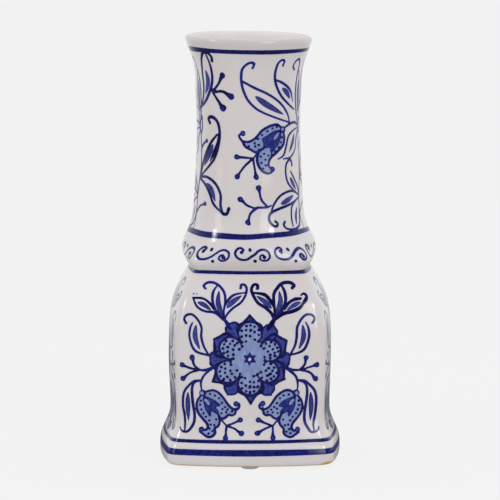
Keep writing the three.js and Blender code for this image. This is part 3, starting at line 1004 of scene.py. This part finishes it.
class Nodes:
    """A short way to write the node tree of a material or of the world."""

    def __init__(self, owner):
        owner.use_nodes = True
        self.owner = owner
        self.tree = owner.node_tree
        self.surface = self.tree.nodes.get("Principled BSDF")
        self.coordinates = self.new("ShaderNodeTexCoord").outputs

    def new(self, kind, **settings):
        node = self.tree.nodes.new(kind)
        for key, value in settings.items():
            setattr(node, key, value)
        return node

    def put(self, socket, value):
        if isinstance(value, bpy.types.NodeSocket):
            self.tree.links.new(value, socket)
        else:
            socket.default_value = value

    def number(self, name):
        return self.new("ShaderNodeAttribute", attribute_name=name).outputs["Fac"]

    def maths(self, operation, a, b=0.0, clamp=False):
        node = self.new("ShaderNodeMath", operation=operation, use_clamp=clamp)
        self.put(node.inputs[0], a)
        self.put(node.inputs[1], b)
        return node.outputs[0]

    def noise(self, size_mm, detail=2.0, stretch=None):
        """Noise from 0 to 1 whose features are about size_mm across."""
        node = self.new("ShaderNodeTexNoise")
        vector = self.coordinates["Object"]
        if stretch:
            mapping = self.new("ShaderNodeMapping")
            self.put(mapping.inputs["Vector"], vector)
            mapping.inputs["Scale"].default_value = stretch
            vector = mapping.outputs[0]
        self.put(node.inputs["Vector"], vector)
        node.inputs["Scale"].default_value = 1 / (size_mm * MM)
        node.inputs["Detail"].default_value = detail
        return node.outputs["Fac"]

    def split(self, vector):
        node = self.new("ShaderNodeSeparateXYZ")
        self.put(node.inputs[0], vector)
        return node.outputs

    def slope(self, value, low, high, to_low, to_high, shape="LINEAR"):
        """value between low and high, spread over to_low to to_high."""
        node = self.new("ShaderNodeMapRange", interpolation_type=shape)
        for socket, source in zip(node.inputs, (value, low, high, to_low, to_high)):
            self.put(socket, source)
        return node.outputs[0]

    def ramp(self, value, low, high, to_low=0.0, to_high=1.0):
        """The same as a smooth step."""
        return self.slope(value, low, high, to_low, to_high, "SMOOTHSTEP")

    def mix(self, share, a, b):
        node = self.new("ShaderNodeMix", data_type="RGBA")
        self.put(node.inputs["Factor"], share)
        for key, value in ((6, a), (7, b)):
            self.put(node.inputs[key], (*value, 1) if isinstance(value, tuple) else value)
        return node.outputs[2]

    def bump(self, height, distance_mm, normal=None):
        node = self.new("ShaderNodeBump")
        self.put(node.inputs["Height"], height)
        node.inputs["Distance"].default_value = distance_mm * MM
        if normal is not None:
            self.put(node.inputs["Normal"], normal)
        return node.outputs[0]


GLAZE = (0.71, 0.675, 0.685)
GLAZE_SHADE = (0.69, 0.635, 0.625)
# Painted shade, in part: the lip's glaze is darker and pinker towards the rim, partly its own tone and
# partly shade painted onto its downward-facing roll.
GLAZE_LIP_TONE_AND_SHADE = (0.60, 0.555, 0.55)
# Painted light: a lighter glaze for the inner faces, brightening the inside of the mouth, which sits in
# shade.
GLAZE_INSIDE_PAINTED_LIGHT = (0.76, 0.715, 0.70)
BLEED = (0.45, 0.50, 0.72)
WASH = (0.26, 0.32, 0.56)
WASH_DEEP = (0.18, 0.23, 0.46)
COBALT = (0.03, 0.055, 0.33)
COBALT_DEEP = (0.008, 0.010, 0.14)
INK = (0.014, 0.018, 0.20)
INK_DEEP = (0.003, 0.002, 0.04)
CLAY_LIGHT = (0.68, 0.45, 0.2)
CLAY_DARK = (0.46, 0.28, 0.12)
VINYL = (0.30, 0.31, 0.35)
VINYL_MILKY = (0.45, 0.47, 0.52)


def painted_glaze():
    """White tin glaze over buff clay, with cobalt brushwork sunk into it."""
    n = Nodes(bpy.data.materials.new("painted_glaze"))
    edge = n.maths("MULTIPLY", n.maths("SUBTRACT", n.noise(1.3, 3), 0.5), 0.3)
    ink = n.maths("ADD", n.number("ink"), edge)
    fill = n.maths("ADD", n.number("fill"), edge)
    wash = n.maths("ADD", n.number("wash"), edge)
    bare = n.maths("ADD", n.number("bare"), n.maths("MULTIPLY", edge, 2.0))

    body = n.mix(n.ramp(n.noise(34, 3), 0.35, 0.7), GLAZE, GLAZE_SHADE)
    height = n.split(n.coordinates["Object"])["Z"]
    # Darker towards the rim: partly the lip's own tone, partly painted shade.
    body = n.mix(n.ramp(height, LIP_SEAM * MM, VASE_TOP * MM, 0.2, 1.0), body, GLAZE_LIP_TONE_AND_SHADE)
    # Painted light: the inner faces are made lighter than the outer glaze.
    body = n.mix(n.number("inside"), body, GLAZE_INSIDE_PAINTED_LIGHT)
    bleed = n.ramp(n.maths("MINIMUM", n.number("ink"), n.number("fill")), 0.0, 1.3, 0.3, 0.0)
    colour = n.mix(bleed, body, BLEED)

    streaks = n.noise(2.6, 3, stretch=(1, 1, 0.45))
    thin = n.mix(n.ramp(streaks, 0.3, 0.75), WASH, WASH_DEEP)
    colour = n.mix(n.ramp(wash, -0.12, 0.12, 1.0, 0.0), colour, thin)

    uneven = n.maths("MULTIPLY", n.maths("SUBTRACT", n.noise(1.9, 2), 0.5), 1.5)
    pooled = n.maths("ADD", n.number("load"), uneven)
    rim = n.ramp(fill, -0.9, 0.0, 0.0, 0.7)
    solid = n.mix(n.maths("ADD", n.ramp(pooled, 0.1, 1.1), rim, clamp=True), COBALT, COBALT_DEEP)
    colour = n.mix(n.ramp(fill, -0.1, 0.1, 0.97, 0.0), colour, solid)

    line = n.mix(n.ramp(pooled, 0.0, 1.0), INK, INK_DEEP)
    colour = n.mix(n.ramp(ink, -0.12, 0.12, 1.0, 0.0), colour, line)

    clay = n.mix(n.noise(1.2, 4), CLAY_LIGHT, CLAY_DARK)
    is_bare = n.ramp(bare, -0.12, 0.12, 1.0, 0.0)
    colour = n.mix(is_bare, colour, clay)
    n.put(n.surface.inputs["Base Color"], colour)

    polish = n.ramp(n.noise(9, 2), 0.3, 0.7, 0.07, 0.11)
    satin = n.maths("MULTIPLY", n.number("inside"), 0.5)
    dull = n.maths("MAXIMUM", satin, n.maths("MULTIPLY", is_bare, 0.8))
    n.put(n.surface.inputs["Roughness"], n.maths("MAXIMUM", polish, dull))
    ripple = n.bump(n.noise(11, 1), 0.08)
    raised = n.bump(n.ramp(ink, -0.3, 0.3, 1.0, 0.0), 0.01, ripple)
    n.put(n.surface.inputs["Normal"], raised)
    n.surface.inputs["IOR"].default_value = 1.5
    return n.owner


def clear_vinyl():
    """A soft clear bumper, milky with age."""
    n = Nodes(bpy.data.materials.new("clear_vinyl"))
    n.put(n.surface.inputs["Base Color"], n.mix(n.noise(3, 2), VINYL, VINYL_MILKY))
    n.put(n.surface.inputs["Roughness"], n.ramp(n.noise(2, 2), 0.3, 0.7, 0.18, 0.32))
    return n.owner


# ---------------------------------------------------------------- the pieces

glazed = painted_glaze()
vinyl = clear_vinyl()


def finish_piece(obj, node, material):
    obj.data.materials.append(material)
    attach(obj, BODY)
    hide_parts(node)


def clay_piece(name, node, runs, shares, paint, closed=True):
    finish_piece(swept(name, runs, shares, closed, paint), node, glazed)


def step(*points):
    return np.array(points, float)


def steps(*corners):
    """The straight runs that join corners in turn."""
    return [step(a, b) for a, b in zip(corners, corners[1:])]


def section(outer, top, inner, bottom):
    """A closed section: up the outer face, through top, down the inside, and back through bottom."""
    return [outer, *steps(outer[-1], *top, inner[0]), inner, *steps(inner[-1], *bottom, outer[0])]


def inner_width(z):
    return float(np.interp(z, INNER[:, 1], INNER[:, 0]))


def outer_width(z):
    return float(np.interp(z, OUTLINE[:, 1], OUTLINE[:, 0]))


def outside_run(low, high):
    return spaced(part_of(OUTLINE, low, high), FINE)


def inside_run(high, low):
    return spaced(part_of(INNER, low, high)[::-1], COARSE)


TONGUE = 45.35  # half-width of the joint between foot and walls
SPIGOT = 33.85  # radius of the joint between collar and neck
FLOOR_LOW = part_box("floor_slab")[0].z / MM
FLOOR_MIDDLE = (FLOOR_LOW + FLOOR_TOP) / 2
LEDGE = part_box("floor_slab")[1].x / MM + SLIP_GAP / 2
RING = LEDGE - REBATE
NEAR_AXIS = 0.05  # the floor's section stops just short of the axis
FOOT_INSIDE = (42, 16)  # where the foot's inside turns in towards the floor
FOOT_SHELF = FOOT_SEAM - REBATE
NECK_SHELF = NECK_SEAM - REBATE
FOOT_JOINT = ((TONGUE, FOOT_SEAM), (TONGUE, FOOT_SHELF))
NECK_JOINT = ((SPIGOT, NECK_SEAM), (SPIGOT, NECK_SHELF))
WALL_COLUMNS = 193
# The radius at which each round piece has its columns FINE apart.
FLOOR_FINE, FOOT_FINE, COLLAR_FINE, NECK_FINE, LIP_FINE = 20, 59.6, 42, 30.4, 36


def build_floor():
    ledge = ((RING, FLOOR_MIDDLE), (LEDGE, FLOOR_MIDDLE))
    runs = [
        spaced(step((NEAR_AXIS, FLOOR_LOW), (RING, FLOOR_LOW)), COARSE),
        *steps((RING, FLOOR_LOW), *ledge, (LEDGE, FLOOR_TOP)),
        spaced(step((LEDGE, FLOOR_TOP), (NEAR_AXIS, FLOOR_TOP)), COARSE),
        step((NEAR_AXIS, FLOOR_TOP), (NEAR_AXIS, FLOOR_LOW)),
    ]

    def leave_bare(canvas):
        canvas.values["bare"][:] = -1

    shares = whole_turn(FLOOR_FINE)
    clay_piece("floor_slab_cast", "floor_slab", runs, shares, leave_bare)


def build_foot():
    outer = outside_run(FOOT_BOTTOM, FOOT_SEAM)
    inside = step((inner_width(FOOT_SHELF), FOOT_SHELF), FOOT_INSIDE, (LEDGE, FLOOR_TOP))
    under = ((LEDGE, FLOOR_MIDDLE), (RING, FLOOR_MIDDLE), (RING, FOOT_BOTTOM))
    runs = section(outer, FOOT_JOINT, spaced(inside, COARSE), under)
    clay_piece("foot_painted", "foot_band", runs, whole_turn(FOOT_FINE), paint_foot)


def build_wall(number):
    node = f"{SIDES[number]}_wall"
    outer = outside_run(FOOT_SEAM, CREASE)
    inner = inside_run(CREASE, FOOT_SHELF)
    runs = section(outer, (), inner, FOOT_JOINT[::-1])
    shares = number / 4 + np.linspace(-0.125, 0.125, WALL_COLUMNS)
    clay_piece(f"{node}_painted", node, runs, shares, paint_body, closed=False)


def build_collar():
    outer = outside_run(CREASE, NECK_SEAM)
    runs = section(outer, NECK_JOINT, inside_run(NECK_SHELF, CREASE), ())
    clay_piece("collar_painted", "collar_ring", runs, whole_turn(COLLAR_FINE), paint_collar)


def build_neck():
    outer = outside_run(NECK_SEAM, LIP_SEAM)
    runs = section(outer, (), inside_run(LIP_SEAM, NECK_SHELF), NECK_JOINT[::-1])
    clay_piece("neck_painted", "neck_tube", runs, whole_turn(NECK_FINE), paint_neck)


def build_lip():
    rim = ABOVE[RIM, 1]
    outside = part_of(OUTLINE, LIP_SEAM, rim)
    inside = part_of(INNER, LIP_SEAM, rim)[::-1]
    outer = spaced(np.vstack([outside, inside[1:]]), FINE)
    runs = [outer, step(outer[-1], outer[0])]
    clay_piece("lip_painted", "lip_ring", runs, whole_turn(LIP_FINE), paint_neck)


def build_pad(side):
    """A low dome that tapers towards the table, with a rounded edge."""
    node = f"bumper_pad_{side}"
    low, high = (np.array(corner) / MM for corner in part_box(node))
    middle = (low + high) / 2
    edge, height = (high[0] - low[0]) / 2, high[2]
    curve = [(3, 0), (4.1, 0.06), (4.9, 0.35), (5.7, 0.95)]
    outline = through([*curve, (edge - 0.05, height - 0.25), (edge, height)], 4)
    count = 64
    turns = np.linspace(0, 2 * np.pi, count, endpoint=False)
    rings = [np.c_[np.cos(turns) * r, np.sin(turns) * r, np.full(count, z)] for r, z in outline]
    places = np.vstack(rings + [[[0, 0, 0], [0, 0, height]]]) + [middle[0], middle[1], 0]
    rows = len(outline)
    quads = grid_quads(np.arange(rows - 1), np.arange(count), rows, count)
    k = np.arange(count)
    on = (k + 1) % count
    bottom = np.stack([on, k, np.full(count, rows * count)], axis=1)
    last = (rows - 1) * count
    top = np.stack([last + k, last + on, np.full(count, rows * count + 1)], axis=1)
    mesh = bpy.data.meshes.new(f"{node}_moulded")
    mesh.from_pydata((places * MM).tolist(), [], quads.tolist() + bottom.tolist() + top.tolist())
    mesh.shade_smooth()
    obj = bpy.data.objects.new(mesh.name, mesh)
    bpy.context.scene.collection.objects.link(obj)
    finish_piece(obj, node, vinyl)


build_floor()
build_foot()
for number in range(4):
    build_wall(number)
build_collar()
build_neck()
build_lip()
for side in SIDES:
    build_pad(side)


# ---------------------------------------------------------------- the studio

FLOOR_TINT = 0.06
FLOOR_SEEN = 0.835  # what the camera sees of the floor's glow, to make one even pale tone
FLOOR_LIGHT = 0.70  # how much of it lights the vase from below
SKY_LOW, SKY_HIGH = 0.66, 1.04
SKY_FRONT, SKY_BACK = 0.92, 1.3  # the room is a little brighter behind the vase
REFLECTED_FRONT, REFLECTED_BACK = 0.06, 0.8  # the studio is dark in front of the vase, pale behind
# Each window the glaze reflects: azimuth, half-width, lowest and highest edge in degrees, strength.
WINDOWS = ((-75, 3, 26, 33, 26), (50, 4, 26, 33, 22), (-66, 7, 0, 34, 2), (38, 12, 0, 34, 3))
WINDOW_BLUR = 3
CAMERA_TURN = 0.5  # degrees to the left of the front panel
CAMERA_AWAY, CAMERA_HEIGHT = 1.8, 0.38
AIM = (0, 0, 0.127)
LENS, SENSOR = 216.9, 36
CAMERA_SHIFT = (0.0014, -0.0092)
SWEEP_SIZE = 4.0
SWEEP_START, SWEEP_BEND = 1.2, 0.8  # how far behind the vase the floor turns up, and its radius
# The soft lamps: azimuth and elevation in degrees, size in metres, and power.
SOFTBOXES = {
    "left_softbox": (-58, 26, (0.5, 0.7), 3),
    "right_softbox": (37, 26, (0.8, 0.7), 4),
}
SOFTBOX_AWAY = 1.7
LIT_HEIGHT = 0.13  # the height the soft lamps point at


def look_at(obj, target):
    direction = Vector(target) - obj.location
    obj.rotation_euler = direction.to_track_quat("-Z", "Y").to_euler()


def around(azimuth, away, height):
    """A place at an azimuth from the camera's side, in degrees towards the right."""
    a = math.radians(azimuth - CAMERA_TURN)
    return (away * math.sin(a), -away * math.cos(a), height)


def studio_floor():
    """A pale sweep that glows a little, so that it reads as one even tone."""
    mesh = bpy.data.meshes.new("studio_floor")
    profile = [(-SWEEP_SIZE, 0)]
    for a in np.linspace(0, math.pi / 2, 17):
        profile.append((SWEEP_START + SWEEP_BEND * math.sin(a), SWEEP_BEND - SWEEP_BEND * math.cos(a)))
    profile.append((SWEEP_START + SWEEP_BEND, SWEEP_SIZE))
    verts = [(x, y, z) for y, z in profile for x in (-SWEEP_SIZE, SWEEP_SIZE)]
    faces = [(2 * k, 2 * k + 1, 2 * k + 3, 2 * k + 2) for k in range(len(profile) - 1)]
    mesh.from_pydata(verts, [], faces)
    floor = bpy.data.objects.new("studio_floor", mesh)
    bpy.context.scene.collection.objects.link(floor)
    n = Nodes(bpy.data.materials.new("studio_sweep"))
    n.surface.inputs["Base Color"].default_value = (FLOOR_TINT, FLOOR_TINT, FLOOR_TINT, 1)
    n.surface.inputs["Roughness"].default_value = 1.0
    n.surface.inputs["Specular IOR Level"].default_value = 0.0
    n.surface.inputs["Emission Color"].default_value = (1, 1, 1, 1)
    path = n.new("ShaderNodeLightPath").outputs
    depth = n.split(n.coordinates["Object"])["Y"]
    reflected = n.ramp(depth, 0.0, 1.0, REFLECTED_FRONT, REFLECTED_BACK)
    glow = n.ramp(path["Is Camera Ray"], 0, 1, FLOOR_LIGHT, FLOOR_SEEN)
    n.put(n.surface.inputs["Emission Strength"], n.ramp(path["Is Glossy Ray"], 0, 1, glow, reflected))
    mesh.materials.append(n.owner)


def studio_sky():
    """Soft light from all round, and, for the glaze to reflect, a dark room with soft windows."""
    n = Nodes(bpy.data.worlds.new("studio"))

    def within(value, centre, half):
        away = n.maths("ABSOLUTE", n.maths("SUBTRACT", value, math.radians(centre)))
        return n.slope(away, math.radians(half - WINDOW_BLUR), math.radians(half + WINDOW_BLUR), 1, 0)

    x, y, z = n.split(n.coordinates["Generated"])
    rising = n.slope(z, 0, 1, SKY_LOW, SKY_HIGH)
    lit = n.maths("MULTIPLY", rising, n.slope(y, -1, 1, SKY_FRONT, SKY_BACK))
    azimuth = n.maths("ARCTAN2", x, n.maths("MULTIPLY", y, -1.0))
    elevation = n.maths("ARCSINE", z)
    reflected = n.slope(y, -0.3, 0.7, REFLECTED_FRONT, REFLECTED_BACK)
    for centre, half_width, low, high, strength in WINDOWS:
        across = within(azimuth, centre - CAMERA_TURN, half_width)
        up = within(elevation, (low + high) / 2, (high - low) / 2)
        shine = n.maths("MULTIPLY", n.maths("MULTIPLY", across, up), strength)
        reflected = n.maths("ADD", reflected, shine)
    is_reflection = n.new("ShaderNodeLightPath").outputs["Is Glossy Ray"]
    background = n.tree.nodes["Background"].inputs
    n.put(background["Strength"], n.slope(is_reflection, 0, 1, lit, reflected))
    background["Color"].default_value = (1, 1, 1, 1)
    bpy.context.scene.world = n.owner


def softbox(name, azimuth, elevation, size, power):
    light = bpy.data.lights.new(name, "AREA")
    light.shape = "RECTANGLE"
    light.size, light.size_y = size
    light.energy = power
    obj = bpy.data.objects.new(name, light)
    e = math.radians(elevation)
    height = LIT_HEIGHT + SOFTBOX_AWAY * math.sin(e)
    obj.location = around(azimuth, SOFTBOX_AWAY * math.cos(e), height)
    bpy.context.scene.collection.objects.link(obj)
    look_at(obj, (0, 0, LIT_HEIGHT))
    obj.visible_glossy = False  # the sky's windows stand in for its reflection


def studio_camera():
    camera = bpy.data.cameras.new("camera")
    camera.lens = LENS
    camera.sensor_width = SENSOR
    camera.shift_x, camera.shift_y = CAMERA_SHIFT
    camera.clip_end = 20
    obj = bpy.data.objects.new("camera", camera)
    obj.location = around(0, CAMERA_AWAY, CAMERA_HEIGHT)
    bpy.context.scene.collection.objects.link(obj)
    look_at(obj, AIM)
    bpy.context.scene.camera = obj


studio_floor()
studio_sky()
for name, settings in SOFTBOXES.items():
    softbox(name, *settings)
studio_camera()
bpy.context.scene.view_settings.view_transform = "Standard"
